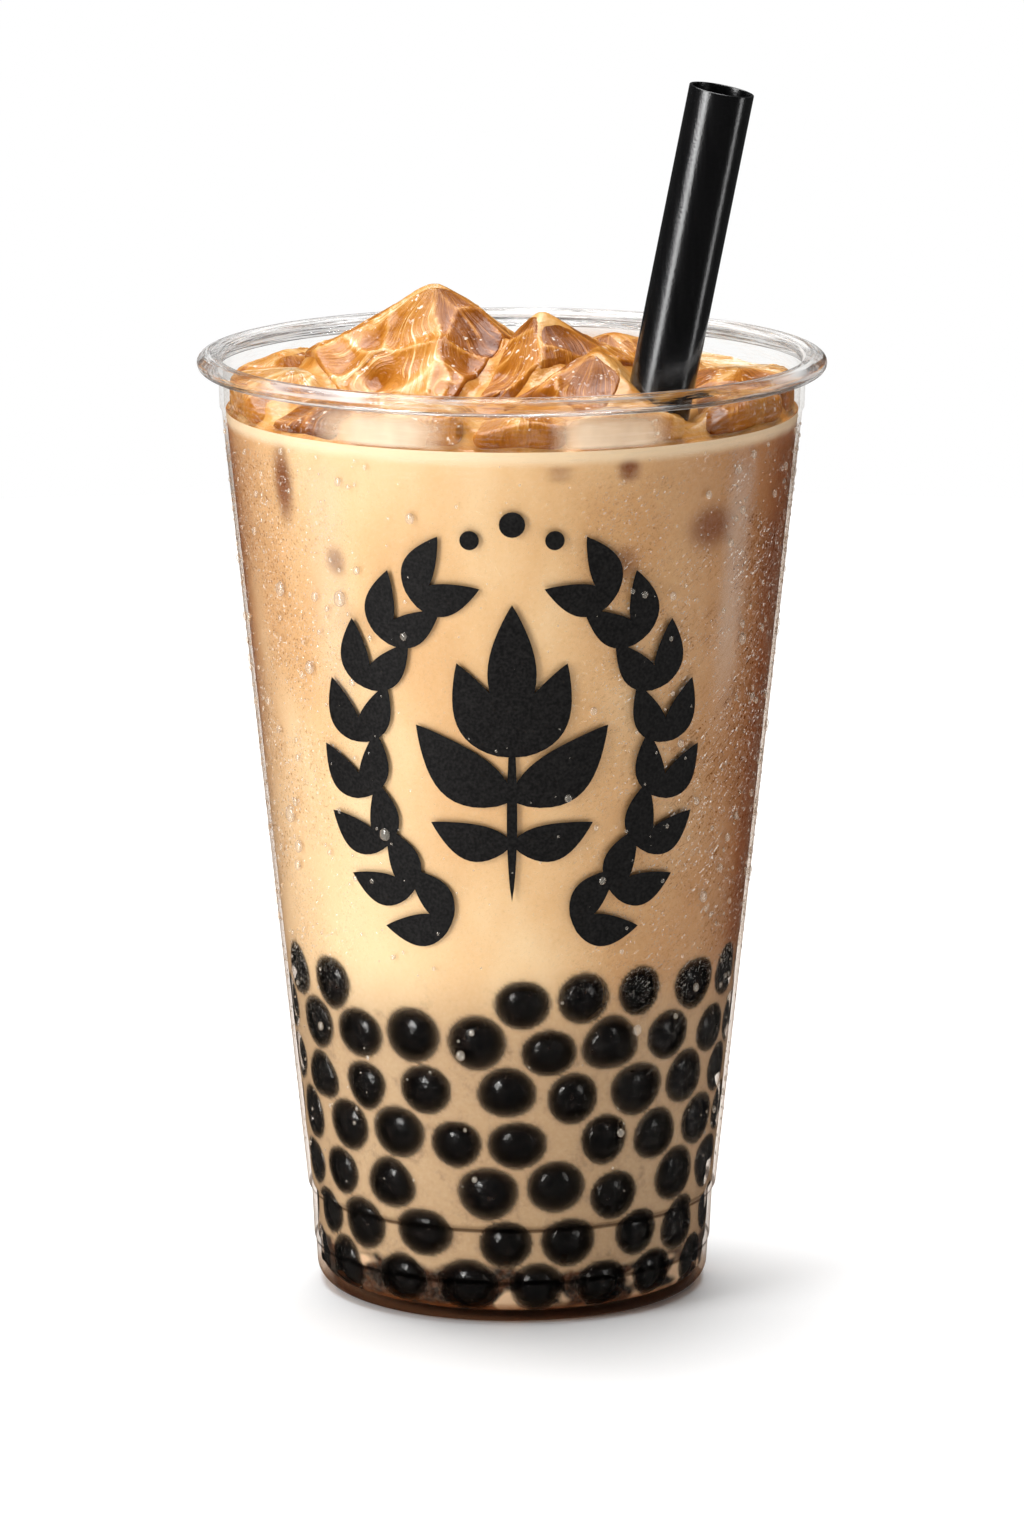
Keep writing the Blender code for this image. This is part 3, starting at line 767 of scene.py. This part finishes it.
def washed_ice():
    """Wet ice under a film of milk tea: amber and caramel, drawn into streaks down the slopes, with painted highlights:
    pale crests, a pale sheen towards its outline and small painted glints.
    """
    material, shade = new_material("washed_ice")
    flow = shade.stored("flow", output="Vector")
    place = shade.place()
    streaks = flow.noise(1.0, detail=5.0, roughness=0.62)
    fine = flow.noise(3.2, detail=3.0, roughness=0.6)
    patches = place.noise(170.0, detail=3.0)
    bent = place.moved(place.noise(120.0, detail=1.0) * 0.012)
    facet = bent.cells(150.0, output="Color").part("X")
    drawn = (streaks - 0.5) * 0.4 + (fine - 0.5) * 0.45 + fine.rise(0.56, 0.7) * 0.25
    tone = shade.stored("tone") * 0.8 - 0.11 + drawn * (0.2 + 0.8 * shade.stored("top")) + (patches - 0.5) * 0.4
    # Painted highlights: paler along the crests and towards the outline.
    tone = tone + shade.stored("crest") * 0.42 + (facet - 0.5) * 0.12 + facing(shade) ** 2.0 * 0.16
    tint = tone.ramp(*AMBER_STOPS)
    # Painted glints: small near-white spots.
    sparkle = place.noise(1000.0, detail=3.0, roughness=0.6).rise(0.6, 0.66) * patches.rise(0.45, 0.6)
    tint = (sparkle * 0.8).mix(tint, colour(255, 246, 232))
    relief = streaks * 0.5 + fine * 0.2 + place.noise(450.0, detail=3.0) * 0.3
    normal = relief.bump(0.8 * MM)
    roughness = patches.rise(0.3, 0.7) * 0.22 + 0.1
    shine = {"Specular_IOR_Level": 0.18, "Coat_Weight": 0.12, "Coat_Roughness": 0.05}
    return finished(material, shade.principled(Base_Color=tint, Roughness=roughness, Normal=normal, **shine))


wet_ice = washed_ice()


def settled(piece):
    """Gives the piece the mesh that its modifiers make, and takes the modifiers off."""
    graph = bpy.context.evaluated_depsgraph_get()
    mesh = bpy.data.meshes.new_from_object(piece.evaluated_get(graph))
    piece.modifiers.clear()
    piece.data = mesh
    mesh.shade_smooth()


def store_flow(piece, lump, places):
    """Keeps, for each point, where it lies round and down the lump's slopes."""
    east = places[:, 0] / MM - lump.peak[0]
    north = places[:, 1] / MM - lump.peak[1]
    moved = wandered(places[:, 0], places[:, 1], lump.peak[1])
    angle = np.arctan2(north, east) + (moved[0] - places[:, 0]) / MM * 0.12
    away = np.hypot(east, north)
    down = away * 0.14 + places[:, 2] / MM * 0.2 + lump.peak[1]
    flow = np.stack([np.cos(angle) * 7, np.sin(angle) * 7, down], axis=1)
    attribute = piece.data.attributes.new("flow", "FLOAT_VECTOR", "POINT")
    attribute.data.foreach_set("vector", flow.astype(np.float32).ravel())


for lump in LUMPS:
    solid = bmesh.new()
    solid.from_mesh(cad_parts[lump.name].data)
    bmesh.ops.remove_doubles(solid, verts=solid.verts, dist=1e-6)
    piece = add_piece(f"washed_{lump.name}", solid, (wet_ice,), (lump.name,))
    remesh = piece.modifiers.new("even_skin", "REMESH")
    remesh.mode = "VOXEL"
    remesh.voxel_size = LUMP_GRAIN
    settled(piece)
    places = points_of(piece)
    plain, sculpted, crest, tone = carved(lump, places[:, 0], places[:, 1])
    on_top = np.exp(-np.abs(plain - places[:, 2]) / (1.0 * MM))
    on_top *= smooth_step(places[:, 2], TEA_LEVEL - MM, TEA_LEVEL + MM)
    places[:, 2] += (sculpted - plain) * on_top
    piece.data.vertices.foreach_set("co", places.astype(np.float32).ravel())
    store(piece, "tone", tone)
    store(piece, "crest", crest * on_top)
    store(piece, "top", on_top)
    store_flow(piece, lump, places)
    piece.data.update()

# Milk tea above the pearls: the same creamy tea, poured over the ice. Its top is a thin film that drapes from lump to
# lump and meets the wall at the tea's level, and brown spots show where ice or syrup lies behind the wall.
TOP_STEP = 0.55 * MM
TEA_TOP_SIDES = 360
wall_rows = [TEA_LEVEL - 0.35 * MM * step for step in range(1, 8)]
wall_rows += list(np.arange(wall_rows[-1] - 1.6 * MM, BED_VIEW_TOP + 0.2 * MM, -0.8 * MM))
TEA_SPOTS = (  # turn in degrees from the front, height, width and length in mm, and strength
    (-53, 132, 4.5, 12, 0.95),
    (-39, 121, 3.6, 4.5, 0.65),
    (23.6, 136.4, 3.6, 3.4, 1.0),
    (9.4, 136.2, 4.2, 2.6, 0.5),
    (23.5, 122, 5, 5, 0.6),
    (45, 126, 9, 7, 0.9),
    (20.8, 54, 3.4, 1.4, 0.75),
    (-30, 112, 14, 5, 0.2),
    (70, 118, 8, 16, 0.4),
)
BACK_SPOTS = 14
SPOT_SEED = 11
tea = turned(
    (
        *((radius, TEA_LEVEL) for radius in np.arange(0.0, inner_radius(TEA_LEVEL), TOP_STEP)),
        (liquid_radius(TEA_LEVEL), TEA_LEVEL + 0.3 * MM),
        *((liquid_radius(height), height) for height in wall_rows),
        (liquid_radius(BED_VIEW_TOP), BED_VIEW_TOP),
        (0.0, BED_VIEW_TOP),
    ),
    TEA_TOP_SIDES,
)


def tea_top():
    """The tea's surface between the lumps: caramel, streaked with cream."""
    material, shade = new_material("tea_top")
    place = shade.place()
    swirl = place.stretched(1, 1.6, 1).noise(160.0, detail=5.0, roughness=0.65)
    tint = (swirl * 0.9 + 0.1).ramp(*AMBER_STOPS)
    normal = swirl.bump(0.6 * MM)
    return finished(material, shade.principled(Base_Color=tint, Roughness=0.2, Specular_IOR_Level=0.3, Normal=normal))


for face in tea.faces:
    face.material_index = int(face.calc_center_median().z > TEA_LEVEL - 1e-5)
tea_body = add_piece("milk_tea_body", tea, (creamy_tea, tea_top()), ("tea",))
places = points_of(tea_body)
top = np.abs(places[:, 2] - TEA_LEVEL) < 1e-6
places[top, 2] = draped(places[top, 0], places[top, 1])
tea_body.data.vertices.foreach_set("co", places.astype(np.float32).ravel())
tea_body.data.update()


def spots_on(places):
    """How strongly a brown spot shows at each point of the tea's skin."""
    angles = np.arctan2(places[:, 0], -places[:, 1])
    spot = np.zeros(len(places))
    back = random.Random(SPOT_SEED)
    behind = [
        (back.uniform(90, 270), back.uniform(100, 136), back.uniform(3, 9), back.uniform(3, 10), back.uniform(0.3, 0.9))
        for _ in range(BACK_SPOTS)
    ]
    for turn, height, width, length, strength in (*TEA_SPOTS, *behind):
        sideways = np.remainder(angles - math.radians(turn) + math.pi, 2 * math.pi) - math.pi
        across = sideways * 42 / (width / 2)
        along = (places[:, 2] / MM - height) / (length / 2)
        spot = np.maximum(spot, strength * np.exp(-((across**2 + along**2) ** 1.8)))
    return spot


for piece in (tea_body, tea_round_pearls):
    store(piece, "spot", spots_on(points_of(piece)))

# Straw: one wide tube of glossy black polypropylene, cut square at both ends. It leans in the cup with its foot on
# the floor and stands 44 mm above the rim.
STRAW_RADIUS = 4.98 * MM
STRAW_WALL = 0.5 * MM
STRAW_ROUND = 0.12 * MM
STRAW_SIDES = 96
STRAW_TOP = 192.2 * MM
STRAW_AT_LEVEL = Vector((21.5 * MM, -23.5 * MM, TEA_LEVEL))
STRAW_LEAN = Vector((0.190, -0.044, 0.981)).normalized()
STRAW_FOOT = FLOOR_HEIGHT + GAP + STRAW_RADIUS * math.hypot(STRAW_LEAN.x, STRAW_LEAN.y)


def black_polypropylene():
    """Black and glossy, with faint lines along the tube from its drawing."""
    material, shade = new_material("black_polypropylene")
    place = shade.place()
    drawn = place.stretched(1, 1, 0.04).noise(1800.0, detail=2.0)
    tint = drawn.ramp((0.3, colour(3, 3, 4)), (0.8, colour(9, 9, 10)))
    roughness = drawn.rise(0.2, 0.8) * 0.06 + 0.17
    normal = place.noise(2500.0).bump(0.02 * MM)
    gloss = shade.principled(Base_Color=tint, Roughness=roughness, Specular_IOR_Level=0.75, Normal=normal)
    return finished(material, gloss)


straw_length = (STRAW_TOP - STRAW_FOOT) / STRAW_LEAN.z
bore = STRAW_RADIUS - STRAW_WALL
middle = straw_length / 2
straw_outline = tuple(
    rounded(((bore, middle), (bore, straw_length), (STRAW_RADIUS, straw_length), (STRAW_RADIUS, middle)), STRAW_ROUND)
)
straw_foot_end = ((radius, straw_length - height) for radius, height in reversed(straw_outline))
straw = turned((*straw_outline, *straw_foot_end, straw_outline[0]), STRAW_SIDES)
lean = Vector((0, 0, 1)).rotation_difference(STRAW_LEAN).to_matrix()
bmesh.ops.rotate(straw, verts=straw.verts, cent=(0, 0, 0), matrix=lean)
straw_foot = STRAW_AT_LEVEL + STRAW_LEAN * ((STRAW_FOOT - TEA_LEVEL) / STRAW_LEAN.z)
bmesh.ops.translate(straw, verts=straw.verts, vec=straw_foot)
add_piece("black_straw_tube", straw, (black_polypropylene(),), ("straw",))

# Print: one colour of matt black ink on the cup's front, a wreath of leaves round a sprig of tea. It is 0.05 mm
# thick, printed on the outside of the wall before the cup is filled.
PRINT_LIFT = 0.03 * MM
PRINT_THICK = 0.05 * MM
PRINT_MIDDLE = 93 * MM
LEAF_CELLS = (14, 6)
WREATH_PAIRS = 8
WREATH_FIRST = 22
WREATH_STEP = 17
WREATH_REACH = (25, 30)
WREATH_LEAF = (11, 5.2)
WREATH_SPREAD = 28
SPRIG_LEAVES = (  # how high its foot is, turn, length, width and bend
    (-8, 52, 19, 8.5, 1.6),
    (-1, 30, 17, 7.5, 1.2),
    (-15, 75, 13, 6, 1.2),
)


def outer_radius(height):
    """The radius of the cup's outside."""
    return inner_radius(height) + CUP_WALL


def black_ink():
    """Matt black ink with a fine tooth."""
    material, shade = new_material("black_ink")
    place = shade.place()
    tooth = place.noise(2200.0, detail=2.0)
    tint = tooth.ramp((0.35, colour(18, 17, 17)), (0.75, colour(38, 36, 35)))
    normal = tooth.bump(0.02 * MM)
    return finished(material, shade.principled(Base_Color=tint, Roughness=0.5, Specular_IOR_Level=0.15, Normal=normal))


def leaf(bm, foot, heading, length, width, bend=0.0):
    """Adds a flat leaf: its foot (across, up) in mm, its heading in degrees from upright, and its bend to the right."""
    verts = bmesh.ops.create_grid(bm, x_segments=LEAF_CELLS[0], y_segments=LEAF_CELLS[1], size=0.5)["verts"]
    turn = math.radians(heading)
    for vert in verts:
        along = vert.co.x + 0.5
        side = vert.co.y * 2
        half = width / 2 * math.sin(math.pi * along**0.8) ** 0.9
        right = side * half + bend * math.sin(math.pi * along)
        up = along * length
        vert.co.x = foot[0] + right * math.cos(turn) + up * math.sin(turn)
        vert.co.y = foot[1] - right * math.sin(turn) + up * math.cos(turn)


def dot(bm, middle, radius):
    """Adds a round dot of ink, in mm."""
    where = Matrix.Translation((*middle, 0.0))
    bmesh.ops.create_circle(bm, cap_ends=True, cap_tris=True, segments=20, radius=radius, matrix=where)


ink = bmesh.new()
for side in (-1, 1):
    for number in range(WREATH_PAIRS):
        angle = math.radians(WREATH_FIRST + number * WREATH_STEP)
        foot = (side * WREATH_REACH[0] * math.sin(angle), -WREATH_REACH[1] * math.cos(angle))
        heading = side * (90 - math.degrees(angle))
        leaf(ink, foot, heading + WREATH_SPREAD, *WREATH_LEAF, 0.8)
        leaf(ink, foot, heading - WREATH_SPREAD, *WREATH_LEAF, -0.8)
    dot(ink, (side * 6.5, 33), 1.5)
    for level, turn, length, width, bend in SPRIG_LEAVES:
        leaf(ink, (0, level), side * turn, length, width, side * bend)
leaf(ink, (0, 4), 0, 19, 7.5)
leaf(ink, (0, -24), 0, 32, 1.6)
dot(ink, (0, 35.5), 2.0)
bmesh.ops.remove_doubles(ink, verts=ink.verts, dist=1e-4)
bmesh.ops.solidify(ink, geom=ink.faces[:], thickness=1.0)
for vert in ink.verts:
    height = PRINT_MIDDLE + vert.co.y * MM
    reach = outer_radius(height) + PRINT_LIFT + PRINT_THICK * round(abs(vert.co.z))
    angle = vert.co.x * MM / reach
    vert.co = Vector((reach * math.sin(angle), -reach * math.cos(angle), height))
bmesh.ops.recalc_face_normals(ink, faces=ink.faces)
add_piece("leaf_print", ink, (black_ink(),))

# Condensation: clear drops of water on the outside of the cold wall, most of them less than a millimetre wide and
# crowded towards the sides, with a few large ones that have run together.
DROP_COUNT = 4500
BIG_DROPS = (  # turn in degrees, height and width in mm
    (-38, 115.3, 2.2),
    (-45, 115.0, 1.3),
    (-56.5, 115.0, 2.0),
    (-48.5, 103.5, 1.8),
    (-62, 78.7, 2.4),
    (-30, 78.7, 1.8),
    (-20.5, 129, 1.5),
    (-59.5, 73.8, 1.8),
    (-61, 70.6, 1.5),
    (-13, 44, 1.4),
    (35, 116, 1.2),
    (58, 107, 1.6),
    (52, 66.6, 1.6),
    (33, 47, 1.5),
)
DROP_HEIGHTS = (20 * MM, 138 * MM)
DROP_WIDTHS = (0.3 * MM, 0.5 * MM, 1.2 * MM)  # the finest, where the middling ones start, and the widest
DROP_SHAPE = (0.55, 1.15)  # how far a drop stands out and how long it is, for its width
DROP_SEED = 21


def water_drop():
    """A clear drop: painted brown towards its outline, with a painted pale highlight at its very edge and faintly over
    it, and a bright glint.
    """
    material, shade = new_material("water_drop")
    edge = facing(shade)
    rim = shade.principled(Base_Color=colour(176, 128, 84), Roughness=0.1)
    pale = shade.principled(Base_Color=colour(255, 244, 226), Roughness=0.2)
    gloss = shade.principled(Base_Color=(1, 1, 1, 1), Metallic=1.0, Roughness=0.12)
    # Painted shade: brown towards the drop's outline.
    body = (edge.rise(0.35, 0.75) * 0.55).blend(see_through(shade, 1.0, 0.99, 0.97), rim)
    # Painted highlight: pale at the very edge and faintly all over.
    body = (edge.rise(0.75, 0.95) * 0.6 + 0.18).blend(body, pale)
    return finished(material, (edge * 0.1 + 0.06).blend(body, gloss))


def round_ball(subdivisions):
    """A ball one metre wide, to copy."""
    bm = bmesh.new()
    bmesh.ops.create_icosphere(bm, subdivisions=subdivisions, radius=0.5)
    mesh = bpy.data.meshes.new("bead")
    bm.to_mesh(mesh)
    bm.free()
    return mesh


def add_drop(bm, ball, turn, height, width):
    """A flat dome of water whose middle lies on the wall. The turn is in degrees from the front."""
    angle = math.radians(turn)
    outward = Vector((math.sin(angle), -math.cos(angle), 0.0))
    where = Matrix.Translation(outward * outer_radius(height) + Vector((0, 0, height)))
    drop = ball.copy()
    flat = Matrix.Diagonal((width, width * DROP_SHAPE[0], width * DROP_SHAPE[1], 1))
    drop.transform(where @ Matrix.Rotation(angle, 4, "Z") @ flat)
    bm.from_mesh(drop)
    bpy.data.meshes.remove(drop)


coarse_ball, ball, fine_ball = (round_ball(subdivisions) for subdivisions in (1, 2, 3))
draw = random.Random(DROP_SEED)
water = bmesh.new()
for _ in range(DROP_COUNT):
    turn = draw.uniform(-180, 180)
    height = draw.uniform(*DROP_HEIGHTS)
    width = min(DROP_WIDTHS[0] / (1 - draw.random()) ** 0.4, DROP_WIDTHS[2])
    crowding = 0.07 + 0.93 * abs(math.sin(math.radians(turn))) ** 2.0
    if draw.random() < (crowding if height > BED_VIEW_TOP else crowding / 3):
        add_drop(water, coarse_ball if width < DROP_WIDTHS[1] else ball, turn, height, width)
for turn, height, width in BIG_DROPS:
    add_drop(water, fine_ball, turn, height * MM, width * MM)
add_piece("condensation_drops", water, (water_drop(),))

# Studio: a white floor and a white surround that is dim for everything but the camera, so that black things stay
# black; a soft light from the upper left, a wide one above and an upright strip on each side. The camera stands where
# the fit of the cup's outline puts it.
FLOOR_RADIUS = 0.75
FLOOR_GAP = 0.02 * MM
SURROUND_LIGHT = 0.06
CAMERA_PLACE = (0.0, -1.253, 0.337)
CAMERA_AIM = (0.0, 0.0, 0.0822)
CAMERA_LENS = 190.8
scene = bpy.context.scene
scene.view_settings.view_transform = "Standard"


def white_floor():
    """Plain white, a little uneven."""
    material, shade = new_material("white_floor")
    tint = shade.place().noise(3.0).ramp((0.0, colour(250, 250, 250)), (1.0, colour(255, 255, 255)))
    return finished(material, shade.principled(Base_Color=tint, Roughness=0.6, Specular_IOR_Level=0.2))


floor_mesh = bmesh.new()
lowered = Matrix.Translation((0, 0, -FLOOR_GAP))
bmesh.ops.create_circle(floor_mesh, cap_ends=True, segments=64, radius=FLOOR_RADIUS, matrix=lowered)
floor_data = bpy.data.meshes.new("studio_floor")
floor_mesh.to_mesh(floor_data)
floor_mesh.free()
floor_data.materials.append(white_floor())
floor = bpy.data.objects.new("studio_floor", floor_data)
scene.collection.objects.link(floor)
floor.visible_glossy = False

world = bpy.data.worlds.new("white_surround")
world.use_nodes = True
world.node_tree.nodes.clear()
surround = Shade(world.node_tree)
seen = surround.node("ShaderNodeBackground", {"Color": (1, 1, 1, 1), "Strength": 1.0})
dim = surround.node("ShaderNodeBackground", {"Color": (1, 1, 1, 1), "Strength": SURROUND_LIGHT})
directly = surround.node("ShaderNodeLightPath", output="Is Camera Ray")
output = world.node_tree.nodes.new("ShaderNodeOutputWorld")
world.node_tree.links.new(directly.blend(dim, seen).socket, output.inputs["Surface"])
scene.world = world


def add_panel(name, place, target, size, power):
    """A soft rectangular light, turned to what it lights."""
    light = bpy.data.lights.new(name, "AREA")
    light.shape = "RECTANGLE"
    light.size, light.size_y = size
    light.energy = power
    panel = bpy.data.objects.new(name, light)
    panel.location = place
    panel.rotation_euler = (Vector(target) - Vector(place)).to_track_quat("-Z", "Y").to_euler()
    scene.collection.objects.link(panel)
    return panel


add_panel("key_light", (-0.9, -0.6, 0.55), (0, 0, 0.09), (0.42, 0.42), 5.5)
add_panel("top_light", (-0.1, 0.3, 1.5), (0, 0, 0.0), (1.2, 1.2), 41)
add_panel("left_strip", (-0.36, -0.36, 0.15), (0, 0, 0.12), (0.14, 0.28), 0.9)
add_panel("right_strip", (0.45, -0.1, 0.15), (0, 0, 0.12), (0.08, 0.28), 0.25)

camera_data = bpy.data.cameras.new("camera")
camera_data.lens = CAMERA_LENS
camera_data.sensor_width = 36.0
camera_data.clip_start = 0.01
camera = bpy.data.objects.new("camera", camera_data)
camera.location = CAMERA_PLACE
aim = Vector(CAMERA_AIM) - camera.location
camera.rotation_euler = aim.to_track_quat("-Z", "Y").to_euler()
scene.collection.objects.link(camera)
scene.camera = camera
